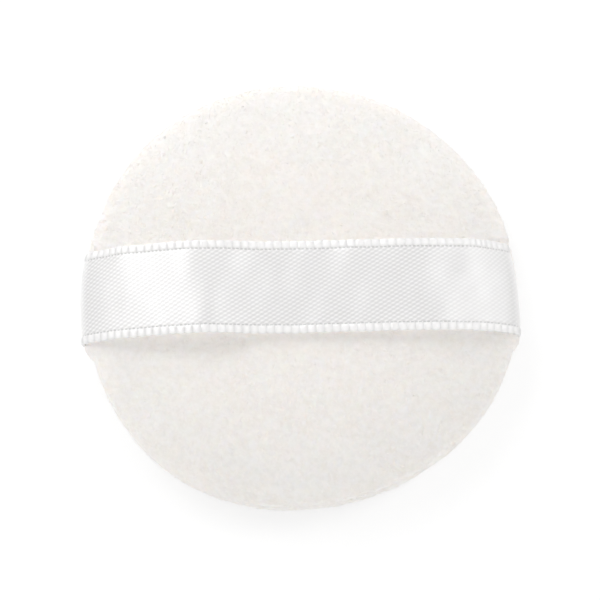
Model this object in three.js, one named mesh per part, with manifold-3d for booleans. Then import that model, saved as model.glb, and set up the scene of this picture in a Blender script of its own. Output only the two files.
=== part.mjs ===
// Round powder puff: two plush covers sewn together at the rim round a foam disc, with a
// satin ribbon handle whose ends are caught in the rim seam.
// Millimetres, +Z up. The puff lies on its powdering face, and the origin is the middle of
// that resting face. The ribbon runs along X over the top.

import * as THREE from "three";
import { mergeVertices } from "three/addons/utils/BufferGeometryUtils.js";
import Module from "manifold-3d";

const wasm = await Module();
wasm.setup();

// Pad: both covers have the same crown, and the lower one is pressed flat by the table.
const PAD_DIAMETER = 56;
const CROWN_RISE = 5.25; // from the seam plane to the top of a free crown
const FOOT_FLATTENING = 0.5; // how far the table presses the lower crown in
const CROWN_FULLNESS = 3.4; // exponent across the pad: higher is flatter, with a fuller edge
const CROWN_ROUNDNESS = 2.1; // exponent up the pad: higher is squarer at the rim

// Plush covers
const COVER_THICKNESS = 1.5; // base cloth and pile together
const SEAM_ALLOWANCE = 6.5; // cloth turned in past the rim
const ALLOWANCE_THICKNESS = 0.9; // the turned-in cloth, with its pile crushed
const SEAM_GAP = 0.3; // between the two turned-in edges
const CREASE_DEPTH = 0.8; // how far the seam lies in from the widest part of the rim
const ROLL_HEIGHT = 1; // from the seam plane to the widest part of the rim

// Satin ribbon
const RIBBON_WIDTH = 12;
const RIBBON_THICKNESS = 0.35;
const RIBBON_TAIL = 6.3; // the length of each end inside the rim
const TAIL_CLEARANCE = 0.4; // between each end and the covers above and below it
const RIBBON_STANDOFF = 0.9; // how far the loose ribbon's middle stands off the crown
const RIBBON_WAVE = 1; // how much further its two waves rise, left and right of the middle
const RIBBON_WAVE_LENGTH = 24; // from the middle to the outer end of a wave
const RIBBON_HUG = 8; // the length at each end over which it comes down onto the rim

// Sewing
const THREAD_DIAMETER = 0.4;
const STITCH_INSET = 1.2; // from the inside of the cover's rim to the row of stitches
const STITCHES_IN_A_TURN = 36;
const STITCHES_LEFT_OPEN = 6; // the gap that the pad is turned through, closed by hand
const TACK_LENGTH = 9; // along the ribbon's width
const TACK_WIDTH = 1; // along the ribbon's length
const TACK_STITCHES = 6;
const TACK_INSET = 1.2; // from the allowance's raw edge to the tack

// Clearance between pieces that lie on or in each other
const CLEARANCE = 0.3;

// Facets
const TURN_STEPS = 40;
const OUTSIDE_STEPS = 9;
const INSIDE_STEPS = 5;
const ROLL_STEPS = 3;
const RIBBON_STEPS = 16;
const RIBBON_STRIPS = 4;
const STEPS_PER_STITCH = 2;
const THREAD_SIDES = 5;
const HOLE_SIDES = 4;

const PAD_RADIUS = PAD_DIAMETER / 2;
const SEAM_HEIGHT = CROWN_RISE - FOOT_FLATTENING;
const RIBBON_SEAT = CLEARANCE + RIBBON_THICKNESS / 2; // from the cover to the ribbon's middle
const CREASE_RADIUS = PAD_RADIUS - CREASE_DEPTH;
const ALLOWANCE_RADIUS = PAD_RADIUS - SEAM_ALLOWANCE;
const ALLOWANCE_TOP = SEAM_GAP / 2 + ALLOWANCE_THICKNESS;
const STITCH_RADIUS = PAD_RADIUS - COVER_THICKNESS - STITCH_INSET;
const THREAD_RADIUS = THREAD_DIAMETER / 2;
const THREAD_LEVEL = ALLOWANCE_TOP + CLEARANCE + THREAD_RADIUS; // of a thread on the allowance
const STITCH_ANGLE = (2 * Math.PI) / STITCHES_IN_A_TURN;

const plush = new THREE.MeshStandardMaterial({ color: 0xf4f0ea, roughness: 1, metalness: 0 });
const satin = new THREE.MeshStandardMaterial({ color: 0xf3f3f3, roughness: 0.35, metalness: 0 });
const foam = new THREE.MeshStandardMaterial({ color: 0xf1e8cf, roughness: 0.95, metalness: 0 });
const cotton = new THREE.MeshStandardMaterial({ color: 0xfaf8f4, roughness: 0.8, metalness: 0 });

// Geometry as a solid for joining and cutting. Lathed poles leave empty triangles, which go.
function solidOf(geometry) {
  const bare = geometry.clone();
  bare.deleteAttribute("normal");
  bare.deleteAttribute("uv");
  const merged = mergeVertices(bare, 1e-4);
  const corners = merged.index.array;
  const kept = [];
  for (let i = 0; i < corners.length; i += 3) {
    const [a, b, c] = [corners[i], corners[i + 1], corners[i + 2]];
    if (a !== b && b !== c && c !== a) kept.push(a, b, c);
  }
  return new wasm.Manifold(
    new wasm.Mesh({
      numProp: 3,
      vertProperties: new Float32Array(merged.attributes.position.array),
      triVerts: new Uint32Array(kept),
    }),
  );
}

function geometryOf(solid) {
  const mesh = solid.getMesh();
  const geometry = new THREE.BufferGeometry();
  geometry.setAttribute("position", new THREE.BufferAttribute(mesh.vertProperties, 3));
  geometry.setIndex(new THREE.BufferAttribute(mesh.triVerts, 1));
  return geometry;
}

function joined(solids) {
  return solids.reduce((whole, solid) => whole.add(solid));
}

// A straight bar from one point to another, run past both so that bars join at corners.
function bar(from, to, radius, sides, overrun) {
  const along = to.clone().sub(from);
  const length = along.length() + 2 * overrun;
  const geometry = new THREE.CylinderGeometry(radius, radius, length, sides);
  const turn = new THREE.Quaternion().setFromUnitVectors(
    new THREE.Vector3(0, 1, 0),
    along.normalize(),
  );
  const middle = from.clone().add(to).multiplyScalar(0.5);
  geometry.applyQuaternion(turn);
  geometry.translate(middle.x, middle.y, middle.z);
  return solidOf(geometry);
}

// A thread that runs straight from point to point.
function thread(points) {
  const bars = [];
  for (let i = 1; i < points.length; i += 1) {
    bars.push(bar(points[i - 1], points[i], THREAD_RADIUS, THREAD_SIDES, THREAD_RADIUS / 2));
  }
  return joined(bars);
}

// A profile of radius and height, with the solid on its left, turned about Z.
function turned(profile) {
  const geometry = new THREE.LatheGeometry(profile, TURN_STEPS);
  geometry.rotateX(Math.PI / 2);
  return solidOf(geometry);
}

// A point of a crown that falls from the axis, at angle 0, to the rim, at a quarter turn.
function crownPoint(angle, radius, base, top) {
  const across = Math.sin(angle) ** (2 / CROWN_FULLNESS);
  const up = Math.max(0, Math.cos(angle)) ** (2 / CROWN_ROUNDNESS);
  return new THREE.Vector2(radius * across, base + (top - base) * up);
}

function crownNormal(point, radius, base, top) {
  const across = (CROWN_FULLNESS / radius) * (point.x / radius) ** (CROWN_FULLNESS - 1);
  const rise = Math.max(0, point.y - base) / (top - base);
  const up = (CROWN_ROUNDNESS / (top - base)) * rise ** (CROWN_ROUNDNESS - 1);
  return new THREE.Vector2(across, up).normalize();
}

// A crown's outline from the axis to the rim. A flattened one starts with a level stretch.
function crownOutline(radius, base, top, flattening, steps) {
  const level = (top - flattening - base) / (top - base);
  const start = Math.acos(level ** (CROWN_ROUNDNESS / 2));
  const points = [new THREE.Vector2(0, top - flattening)];
  for (let i = flattening > 0 ? 0 : 1; i <= steps; i += 1) {
    const angle = start + ((Math.PI / 2 - start) * i) / steps;
    points.push(crownPoint(angle, radius, base, top));
  }
  return points;
}

// A point of the rolled edge, from the widest part of the rim, at angle 0, into the crease.
function rollPoint(angle) {
  return new THREE.Vector2(
    CREASE_RADIUS + CREASE_DEPTH * Math.cos(angle),
    ROLL_HEIGHT - (ROLL_HEIGHT - RIBBON_SEAT) * Math.sin(angle),
  );
}

function rollNormal(angle) {
  const across = Math.cos(angle) / CREASE_DEPTH;
  const up = -Math.sin(angle) / (ROLL_HEIGHT - RIBBON_SEAT);
  return new THREE.Vector2(across, up).normalize();
}

// A cover's section above the seam plane: the crown, the rolled edge, the allowance turned
// in along the seam, and the crown's inside back to the axis.
function coverSection(flattening) {
  const outside = crownOutline(PAD_RADIUS, ROLL_HEIGHT, CROWN_RISE, flattening, OUTSIDE_STEPS);
  for (let i = 1; i <= ROLL_STEPS; i += 1) {
    outside.push(rollPoint(((Math.PI / 2) * i) / ROLL_STEPS));
  }
  const allowance = [
    new THREE.Vector2(CREASE_RADIUS, SEAM_GAP / 2),
    new THREE.Vector2(ALLOWANCE_RADIUS, SEAM_GAP / 2),
    new THREE.Vector2(ALLOWANCE_RADIUS, ALLOWANCE_TOP),
  ];
  const inside = crownOutline(
    PAD_RADIUS - COVER_THICKNESS,
    ALLOWANCE_TOP,
    CROWN_RISE - COVER_THICKNESS,
    flattening,
    INSIDE_STEPS,
  );
  return [...outside, ...allowance, ...inside.reverse()];
}

// The same outline under the seam plane.
function flipped(outline) {
  return outline.map((point) => new THREE.Vector2(point.x, -point.y));
}

function stitchPoint(stitch, level) {
  const angle = stitch * STITCH_ANGLE;
  return new THREE.Vector3(
    STITCH_RADIUS * Math.cos(angle),
    STITCH_RADIUS * Math.sin(angle),
    level,
  );
}

// The machine seam starts and ends beside the turning gap, which is centred on +Y.
function machineStitches() {
  const first = STITCHES_IN_A_TURN / 4 + STITCHES_LEFT_OPEN / 2;
  const count = STITCHES_IN_A_TURN - STITCHES_LEFT_OPEN;
  return Array.from({ length: count + 1 }, (_, i) => first + i);
}

// The hand stitches lie between those of the machine seam.
function handStitches() {
  const first = STITCHES_IN_A_TURN / 4 - (STITCHES_LEFT_OPEN - 1) / 2;
  return Array.from({ length: STITCHES_LEFT_OPEN }, (_, i) => first + i);
}

// The zigzag of a bar tack across one ribbon end. Side is -1 at the left and 1 at the right.
function tackPoints(side, level) {
  const points = [];
  for (let i = 0; i <= TACK_STITCHES; i += 1) {
    const inset = TACK_INSET + (i % 2) * TACK_WIDTH;
    const across = TACK_LENGTH * (i / TACK_STITCHES - 0.5);
    points.push(new THREE.Vector3(side * (ALLOWANCE_RADIUS + inset), across, level));
  }
  return points;
}

// Every needle hole, long enough to go through both allowances and the ribbon ends.
function needleHoles() {
  const stitches = [...machineStitches(), ...handStitches()];
  const places = [
    ...stitches.map((stitch) => stitchPoint(stitch, 0)),
    ...tackPoints(-1, 0),
    ...tackPoints(1, 0),
  ];
  const reach = new THREE.Vector3(0, 0, ALLOWANCE_TOP + CLEARANCE / 2);
  const radius = (THREAD_RADIUS + CLEARANCE) / Math.cos(Math.PI / HOLE_SIDES);
  return joined(
    places.map((place) =>
      bar(place.clone().sub(reach), place.clone().add(reach), radius, HOLE_SIDES, 0),
    ),
  );
}

// The room that the ribbon ends take between the two allowances, from rim to raw edge.
function tailPockets() {
  const length = 2 * (SEAM_ALLOWANCE + CLEARANCE);
  const width = RIBBON_WIDTH + 2 * CLEARANCE;
  const height = RIBBON_THICKNESS + 2 * TAIL_CLEARANCE;
  const pocket = (side) => {
    const box = new THREE.BoxGeometry(length, width, height);
    box.translate(side * PAD_RADIUS, 0, 0);
    return solidOf(box);
  };
  return pocket(-1).add(pocket(1));
}

function backCover(cuts) {
  return turned(coverSection(0).reverse()).subtract(cuts);
}

function faceCover(cuts) {
  return turned(flipped(coverSection(FOOT_FLATTENING))).subtract(cuts);
}

// The foam fills the covers inside the ring of turned-in cloth.
function foamCore() {
  const radius = PAD_RADIUS - COVER_THICKNESS;
  const top = CROWN_RISE - COVER_THICKNESS;
  const edge = ALLOWANCE_RADIUS - CLEARANCE;
  const half = (flattening) => {
    const inside = crownOutline(radius, ALLOWANCE_TOP, top, flattening, INSIDE_STEPS);
    const kept = inside.filter((point) => point.x < edge);
    const angle = Math.asin((edge / radius) ** (CROWN_FULLNESS / 2));
    kept.push(crownPoint(angle, radius, ALLOWANCE_TOP, top));
    return kept.map((point) => new THREE.Vector2(point.x, point.y - CLEARANCE));
  };
  return turned([...flipped(half(FOOT_FLATTENING)), ...half(0).reverse()]);
}

// How far the loose ribbon stands off the crown at a distance from the middle.
function slackAt(x) {
  const wave = Math.sin(Math.PI * Math.min(1, x / RIBBON_WAVE_LENGTH)) ** 2;
  const loose = 1 - THREE.MathUtils.smoothstep(x, PAD_RADIUS - RIBBON_HUG, PAD_RADIUS);
  return loose * (RIBBON_STANDOFF + RIBBON_WAVE * wave);
}

// The ribbon's middle line from the middle of the crown, over the rim and into the seam.
function ribbonHalfLine() {
  const line = [];
  for (let i = 0; i <= RIBBON_STEPS; i += 1) {
    const across = Math.sin(((Math.PI / 2) * i) / RIBBON_STEPS);
    const angle = Math.asin(across ** (CROWN_FULLNESS / 2));
    const point = crownPoint(angle, PAD_RADIUS, ROLL_HEIGHT, CROWN_RISE);
    const normal = crownNormal(point, PAD_RADIUS, ROLL_HEIGHT, CROWN_RISE);
    line.push(point.addScaledVector(normal, RIBBON_SEAT + slackAt(point.x)));
  }
  for (let i = 1; i <= ROLL_STEPS; i += 1) {
    const angle = ((Math.PI / 2) * i) / ROLL_STEPS;
    line.push(rollPoint(angle).addScaledVector(rollNormal(angle), RIBBON_SEAT));
  }
  line.push(new THREE.Vector2(PAD_RADIUS - RIBBON_TAIL, 0));
  return line;
}

// How far a point of the ribbon is drawn in, so that the ends bend round with the rim.
function bendIn(x, y) {
  const share = THREE.MathUtils.smoothstep(Math.abs(x), ALLOWANCE_RADIUS, CREASE_RADIUS);
  return Math.sign(x) * share * (PAD_RADIUS - Math.sqrt(PAD_RADIUS ** 2 - y ** 2));
}

function ribbonHandle(cuts) {
  const right = ribbonHalfLine();
  const left = right.slice(1).map((point) => new THREE.Vector2(-point.x, point.y));
  const line = [...left.reverse(), ...right];
  const side = (distance) =>
    line.map((point, i) => {
      const before = line[Math.max(i - 1, 0)];
      const after = line[Math.min(i + 1, line.length - 1)];
      const along = after.clone().sub(before).normalize();
      const normal = new THREE.Vector2(-along.y, along.x);
      return point.clone().addScaledVector(normal, distance);
    });
  const upper = side(RIBBON_THICKNESS / 2);
  const lower = side(-RIBBON_THICKNESS / 2);
  const geometry = new THREE.ExtrudeGeometry(new THREE.Shape([...lower, ...upper.reverse()]), {
    depth: RIBBON_WIDTH,
    steps: RIBBON_STRIPS,
    bevelEnabled: false,
  });
  geometry.translate(0, 0, -RIBBON_WIDTH / 2);
  geometry.rotateX(Math.PI / 2);
  const places = geometry.attributes.position;
  for (let i = 0; i < places.count; i += 1) {
    const x = places.getX(i);
    places.setX(i, x - bendIn(x, places.getY(i)));
  }
  return solidOf(geometry).subtract(cuts);
}

// One thread of the machine seam: a run on the allowance with a leg into each needle hole.
// The needle thread lies above and the bobbin thread below, and their legs meet half way.
function seamThread(side) {
  const stitches = machineStitches();
  const level = side * THREAD_LEVEL;
  const meeting = (side * CLEARANCE) / 2;
  const round = Array.from({ length: THREAD_SIDES }, (_, i) => {
    const angle = (2 * Math.PI * i) / THREAD_SIDES;
    return new THREE.Vector2(Math.cos(angle), Math.sin(angle)).multiplyScalar(THREAD_RADIUS);
  });
  const run = new THREE.ExtrudeGeometry(new THREE.Shape(round), {
    extrudePath: new THREE.CatmullRomCurve3(stitches.map((stitch) => stitchPoint(stitch, level))),
    steps: STEPS_PER_STITCH * (stitches.length - 1),
    bevelEnabled: false,
  });
  const legs = stitches.map((stitch) =>
    bar(stitchPoint(stitch, level), stitchPoint(stitch, meeting), THREAD_RADIUS, THREAD_SIDES, 0),
  );
  return joined([solidOf(run), ...legs]);
}

// The hand stitches that close the turning gap run over and under by turns.
function closingThread() {
  const runs = handStitches().slice(1);
  const points = runs.flatMap((stitch, i) => {
    const level = i % 2 ? -THREAD_LEVEL : THREAD_LEVEL;
    return [stitchPoint(stitch - 1, level), stitchPoint(stitch, level)];
  });
  return thread(points);
}

// A bar tack: the same zigzag above and below, joined by a leg at each needle hole.
function barTack(side) {
  const above = tackPoints(side, THREAD_LEVEL);
  const below = tackPoints(side, -THREAD_LEVEL);
  const legs = above.map((point, i) => bar(point, below[i], THREAD_RADIUS, THREAD_SIDES, 0));
  return joined([thread(above), thread(below), ...legs]);
}

const holes = needleHoles();
const coverCuts = holes.add(tailPockets());

const pieces = [
  ["back_cover", backCover(coverCuts), plush],
  ["face_cover", faceCover(coverCuts), plush],
  ["foam_core", foamCore(), foam],
  ["ribbon_handle", ribbonHandle(holes), satin],
  ["seam_needle_thread", seamThread(1), cotton],
  ["seam_bobbin_thread", seamThread(-1), cotton],
  ["closing_thread", closingThread(), cotton],
  ["left_bar_tack", barTack(-1), cotton],
  ["right_bar_tack", barTack(1), cotton],
];

// Every piece is drawn from the seam plane, which lies above the resting face.
const puff = new THREE.Group();
puff.position.z = SEAM_HEIGHT;
for (const [name, solid, material] of pieces) {
  const mesh = new THREE.Mesh(geometryOf(solid), material);
  mesh.name = name;
  puff.add(mesh);
}

const part = new THREE.Group();
part.add(puff);

export default part;
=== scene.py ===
"""A round plush powder puff with a satin ribbon handle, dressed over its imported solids."""

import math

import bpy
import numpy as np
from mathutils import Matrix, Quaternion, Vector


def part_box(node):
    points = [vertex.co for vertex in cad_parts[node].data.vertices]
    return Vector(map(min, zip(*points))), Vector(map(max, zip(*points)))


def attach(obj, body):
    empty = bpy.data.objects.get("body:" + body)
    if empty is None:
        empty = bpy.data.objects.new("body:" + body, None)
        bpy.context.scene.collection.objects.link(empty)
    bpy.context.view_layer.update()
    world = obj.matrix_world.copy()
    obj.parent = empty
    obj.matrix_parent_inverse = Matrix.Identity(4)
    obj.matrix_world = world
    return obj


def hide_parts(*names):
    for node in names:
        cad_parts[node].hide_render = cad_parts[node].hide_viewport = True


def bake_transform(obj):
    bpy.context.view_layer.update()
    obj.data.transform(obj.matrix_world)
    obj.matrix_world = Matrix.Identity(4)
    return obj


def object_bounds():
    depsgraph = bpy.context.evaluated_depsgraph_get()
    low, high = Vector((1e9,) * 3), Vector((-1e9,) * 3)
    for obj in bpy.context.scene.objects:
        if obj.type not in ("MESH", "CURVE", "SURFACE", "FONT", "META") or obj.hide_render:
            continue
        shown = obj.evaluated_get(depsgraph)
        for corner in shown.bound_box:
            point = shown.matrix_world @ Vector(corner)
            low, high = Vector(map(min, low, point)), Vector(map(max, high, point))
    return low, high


bl_info = {
    "name": "Powder Puff",
    "version": (1, 0, 0),
    "blender": (4, 5, 0),
    "location": "View3D > Sidebar > Puff",
    "description": "Sews a plush powder puff with a satin ribbon handle",
    "category": "Add Mesh",
}

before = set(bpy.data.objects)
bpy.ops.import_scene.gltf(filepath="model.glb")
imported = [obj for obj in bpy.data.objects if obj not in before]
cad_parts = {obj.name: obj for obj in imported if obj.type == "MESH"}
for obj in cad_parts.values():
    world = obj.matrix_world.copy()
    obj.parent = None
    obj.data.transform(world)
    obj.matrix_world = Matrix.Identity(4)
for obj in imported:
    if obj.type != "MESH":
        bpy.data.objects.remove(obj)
CAD_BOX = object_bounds()

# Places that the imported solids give, in metres
BACK_LOW, BACK_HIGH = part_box("back_cover")
FACE_LOW, FACE_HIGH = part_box("face_cover")
FOAM_LOW, FOAM_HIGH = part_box("foam_core")
RIBBON_LOW, RIBBON_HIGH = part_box("ribbon_handle")
SEAM = (BACK_LOW.z + FACE_HIGH.z) / 2
SEWN = ("seam_needle_thread", "seam_bobbin_thread", "closing_thread", "left_bar_tack", "right_bar_tack")

FRAME_PIXELS = 600
SEED = 17
QUARTER_TURN = math.pi / 2
FULL_TURN = 2 * math.pi

# Settings of the swelling, done on a pad of armchair size where cloth is steady
SWELL_SCALE = 20
SWELL_FRAMES = 20
SWELL_FREE = 0.93
SWELL_ROOM = 0.4
SWELL_CLOTH = {
    "quality": 6,
    "mass": 0.3,
    "tension_stiffness": 12,
    "compression_stiffness": 12,
    "shear_stiffness": 6,
    "bending_stiffness": 4,
}

# Cells of the covers' net, rows of their roll and turned edge, and cuts for the pile
NET_CELLS = 60
ROLL_ROWS = 4
TURNED_ROWS = 5
PILE_CUTS = 3

# Shares of the outline's wobble: its shift to the back, and waves by count, height and phase
CUT_SHIFT = 1.2
CUT_WAVES = ((3, 1.0, 0.36), (4, 0.4, 2.5))

# Where the ribbon's ends follow the rim, and how closely across the ribbon
RIM_NEAR = 0.0065
RIM_FULL = 0.0008
FOLLOW_LEAST = 0.1
FOLLOW_GROWS = (-0.0045, 0.0015)

# The pile pressed under the ribbon's ends, and the rim filled beside them
PRESS_FULL = 0.0015
PRESS_INSIDE = 0.0004
PRESS_BESIDE = 0.001
PRESS_DEEPER = 0.0001
FILL_BESIDE = 0.002

# Room that the turned edge leaves the ribbon's tails
ROOM_BEHIND = 0.002
ROOM_BESIDE = 0.0003

# Slants of a five-end satin in lines for each weft and warp pitch, and the second one's strength
STEEP_SLANT = (0.611, -0.193)
SHALLOW_SLANT = (0.391, 0.2046)
SECOND_SLANT = 0.55

# Where a painted highlight flattens the weave toward the right end and where painted light brightens the
# ends that turn in, and how light the cloth is painted there
RIGHT_HIGHLIGHT_SPAN = (0.0155, 0.022)
WEAVE_TURNS_IN = (0.0283, 0.0298)
RIGHT_HIGHLIGHT_SHARE = 0.55
HIGHLIGHT_FLOATS = 0.33
HIGHLIGHT_BEADS = 0.75
TURNED_END_LIGHT = 0.95

# How much painted shade the satin's ground between floats takes, the selvage's edge, and the dashed line
# of painted shade along the groove inside it
GROUND_SHADE = 0.34
SELVAGE_SOFT = 0.00004
GROOVE_SHADE_INSIDE = 0.00006
GROOVE_SHADE_WIDTH = 0.00012
GROOVE_SHADE_CORE = 0.00004

# The ribbon's ripples by pitch along, pitch across, phase and height, and where they end
RIPPLES = ((0.0075, 0.016, 0.4, 1.0), (0.0052, -0.011, 2.0, 0.6))
RIPPLES_END = (0.022, 0.027)

# Beads of the selvage, and how they push its edge out
BEAD_POWER = 0.6
BEAD_PUSH = 0.00011
BEAD_REST = 0.7

# Rows and columns of the ribbon's mesh, which is coarser in the tails and underneath
TAIL_ROWS = 16
WEAVE_STEP = 0.000105
WEAVE_COLUMNS = 121
STRIP_COLUMNS = 10

# Loose fibres, which are shorter near the seam
FIBRE_CLEAR = 0.0003
FIBRE_FLOOR = 0.00002
FIBRE_ROOT = 0.00008
FIBRE_LEAST = 0.45
SEAM_LEAST = 0.4
SEAM_ENDS = (0.0005, 0.0025)
SWAY_TAMED = 1.5

# Place, width and height of each soft light
LIGHTS = {
    "back": ((-0.12, 0.24, 0.24), 0.20, 0.15),
    "rear": ((-0.10, 0.50, 0.24), 0.40, 0.20),
    "key": ((-0.235, 0.15, 0.29), 0.20, 0.34),
    "fill": ((0.33, 0.11, 0.31), 0.15, 0.50),
    "front": ((-0.05, -0.55, 0.10), 0.30, 0.12),
}

# Share of the pile's height that is left below each height over the seam, so that the lips meet
LIP_PILE = ((0.0008, 0.7), (0.0005, 0.4), (0.0003, 0.1))


def length(name, description, default):
    """A property that holds a length in metres"""
    return bpy.props.FloatProperty(
        name=name, description=description, default=default, min=0, unit="LENGTH", precision=5
    )


def angle(name, description, degrees):
    """A property that holds an angle"""
    return bpy.props.FloatProperty(
        name=name, description=description, default=math.radians(degrees), subtype="ANGLE"
    )


def number(name, description, default, unit="NONE"):
    """A property that holds a plain number, or one in its own unit"""
    return bpy.props.FloatProperty(
        name=name, description=description, default=default, min=0, unit=unit
    )


def count(name, description, default):
    """A property that holds a count"""
    return bpy.props.IntProperty(name=name, description=description, default=default, min=1)


def colour(name, description, default):
    """A property that holds a colour"""
    return bpy.props.FloatVectorProperty(
        name=name, description=description, default=default, subtype="COLOR", min=0, max=1
    )


class PuffCoverSizes(bpy.types.PropertyGroup):
    """Sizes of the two plush covers"""

    radius: length("Radius", "Half the pad's width at its seam", BACK_HIGH.x)
    crown_rise: length("Crown rise", "Height of the crown over the seam", BACK_HIGH.z - SEAM)
    fullness: number("Fullness", "How square the crown's shoulder is", 3.4)
    roundness: number("Roundness", "How round the crown is over its middle", 2.1)
    cloth: length("Cloth thickness", "Thickness of the plush with its pile", 0.0015)
    allowance: length("Seam allowance", "Depth of cloth turned in at the seam", 0.0065)
    allowance_cloth: length("Allowance thickness", "Thickness of the turned in cloth", 0.0009)
    seam_gap: length("Seam gap", "Gap between the two turned in edges", 0.0003)
    crease: length("Crease depth", "How far the seam is drawn in", 0.0008)
    roll: length("Roll height", "Height of each rolled edge", 0.001)
    wobble: length("Hand-cut wobble", "How far the outline strays from a true circle", 0.0003)
    swell_cap: length("Swell cap", "The most that the stuffing moves a point", 0.0004)
    swell_pressure: number("Swell pressure", "Pressure of the stuffing on the cloth", 1.6)


class PuffPileSizes(bpy.types.PropertyGroup):
    """Sizes of the pile on the covers"""

    drift: length("Drift size", "Width of the soft dips over the pile", 0.0045)
    drift_height: length("Drift height", "Height of the soft dips", 0.00022)
    clump: length("Clump size", "Width of a clump of pile", 0.0009)
    clump_height: length("Clump height", "Height of a clump of pile", 0.00019)
    nap: length("Nap size", "Width of the finest tufts", 0.00042)
    nap_height: length("Nap height", "Height of the finest tufts", 0.0001)
    fibre: length("Fibre length", "Length of the longest loose fibre", 0.0007)
    fibre_width: length("Fibre width", "Width of a fibre at its root", 0.00008)
    fibre_lean: angle("Fibre lean", "How far a fibre leans from upright", 66)
    fibres: count("Fibres", "Loose fibres on each cover", 30000)
    foot: length("Foot", "Depth of the loose fibres under the resting face", 0.00015)


class PuffRibbonSizes(bpy.types.PropertyGroup):
    """Sizes of the ribbon handle"""

    width: length("Width", "Width of the ribbon over its selvages", RIBBON_HIGH.y - RIBBON_LOW.y)
    thickness: length("Thickness", "Thickness of the ribbon", 0.0003)
    seat: length("Seat", "Height of the ribbon's middle layer over the crown", 0.000475)
    press: length("Press", "How far the sewn ends press into the rim", 0.000265)
    bow: length("Bow", "How far the sewn ends lie behind the ribbon's middle", 0.0002)
    ripple: length("Ripple", "Height of the slight unevenness of the loose ribbon", 0.00006)
    slant: length("Slant", "How far the right end is drawn in at its far corner", 0.0005)
    standoff: length("Standoff", "Slack between ribbon and crown at the middle", 0.0006)
    left_wave: length("Left wave", "Rise of the ribbon's left wave", 0.0016)
    left_crest: length("Left crest", "Place of the left wave's crest from the middle", 0.0124)
    right_wave: length("Right wave", "Rise of the ribbon's right wave", 0.0004)
    right_crest: length("Right crest", "Place of the right wave's crest from the middle", 0.0145)
    left_reach: length("Left reach", "Reach of the left wave towards the middle", 0.0058)
    right_reach: length("Right reach", "Reach of the right wave towards the middle", 0.011)
    end_reach: length("End reach", "Reach of both waves towards the ends", 0.0068)
    hug: length("Hug", "Length over which the ends come down on the pad", 0.0065)
    tail: length("Tail", "Length of each end sewn into the seam", 0.0063)
    tail_clear: length("Tail clearance", "Gap between a tail and the turned in cloth", 0.00006)
    cup: length("Cup", "How far the selvages droop", 0.00012)
    selvage: length("Selvage width", "Width of the beaded edge", 0.00098)
    bead: length("Bead pitch", "Distance between two beads of the edge", 0.00105)
    bead_height: length("Bead height", "Height of a bead", 0.00012)
    groove: length("Groove depth", "Depth of the line inside the selvage", 0.00009)
    weave_height: length("Weave height", "Height of the satin's float ridges", 0.000006)
    warp: length("Warp pitch", "Distance between two warp yarns", 0.000109)
    weft: length("Weft pitch", "Distance between two weft yarns", 0.000526)


class PuffColours(bpy.types.PropertyGroup):
    """Colours of the puff's cloth and thread"""

    plush: colour("Plush", "The pile's tips", (0.925, 0.897, 0.873))
    plush_deep: colour("Plush roots", "The pile between clumps", (0.862, 0.831, 0.798))
    satin: colour("Satin", "The ribbon's floats", (0.86, 0.855, 0.855))
    # Painted shade of the satin: the ground between floats, the gaps between beads and the groove line
    # are tinted towards this colour
    satin_painted_shade: colour("Satin crossings", "The ribbon where yarns cross", (0.52, 0.515, 0.52))
    backing: colour("Backing", "The knitted back of the plush", (0.80, 0.77, 0.72))
    foam: colour("Foam", "The stuffing", (0.86, 0.80, 0.66))
    foam_pore: colour("Foam pores", "The stuffing's open cells", (0.60, 0.52, 0.38))
    thread: colour("Thread", "The sewing thread", (0.86, 0.84, 0.80))
    thread_deep: colour("Thread twist", "Between the thread's plies", (0.66, 0.62, 0.56))
    floor: colour("Floor", "The pale floor", (0.92, 0.92, 0.92))


class PuffStageSizes(bpy.types.PropertyGroup):
    """Camera and light round the puff"""

    elevation: angle("Elevation", "Height of the camera over the floor", 76)
    roll: angle("Roll", "How far the picture is turned", 1.26)
    lens: number("Lens", "Focal length", 200, "CAMERA")
    pixels_per_radius: number("Frame scale", "Pixels that the pad's radius takes", 216.7)
    right_pixels: number("Right of centre", "Pixels from the picture's middle to the pad's", 0.3)
    up_pixels: number("Above centre", "Pixels from the picture's middle to the pad's", 1.0)
    key: number("Key light", "Power of the soft light at the back left", 0.46, "POWER")
    back: number("Back light", "Power of the soft light at the back", 0.27, "POWER")
    rear: number("Rear light", "Power of the soft light far behind", 0.08, "POWER")
    fill: number("Fill light", "Power of the soft light at the right", 0.63, "POWER")
    front: number("Front light", "Power of the soft light at the front", 0.68, "POWER")
    sky: number("Sky", "Strength of the even light overhead", 0.265)
    horizon: number("Horizon", "Strength of the even light at the horizon", 1.0)
    floor_glow: number("Floor white", "Share of the floor's white that no shadow takes", 0.65)


# Small helpers for selecting, meshes and nodes


def mode(kind):
    """Goes into edit or object mode"""
    bpy.ops.object.mode_set(mode=kind)


def deselect():
    """Nothing is selected or active, as each piece starts"""
    if bpy.context.object and bpy.context.object.mode != "OBJECT":
        mode("OBJECT")
    bpy.ops.object.select_all(action="DESELECT")


def pick(piece):
    """Only this piece is selected and active"""
    deselect()
    piece.select_set(True)
    bpy.context.view_layer.objects.active = piece


def new_piece(name, points, faces):
    """A piece from points and faces, at the origin"""
    mesh = bpy.data.meshes.new(name)
    mesh.from_pydata(points, [], faces)
    mesh.validate()
    piece = bpy.data.objects.new(name, mesh)
    bpy.context.scene.collection.objects.link(piece)
    pick(piece)
    return piece


def points_of(piece):
    """The piece's points as rows of x, y, z"""
    points = np.empty(len(piece.data.vertices) * 3, np.float32)
    piece.data.vertices.foreach_get("co", points)
    return points.reshape(-1, 3).astype(float)


def put_points(piece, points):
    """Moves the piece's points"""
    piece.data.vertices.foreach_set("co", points.astype(np.float32).ravel())
    piece.data.update()


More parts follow.
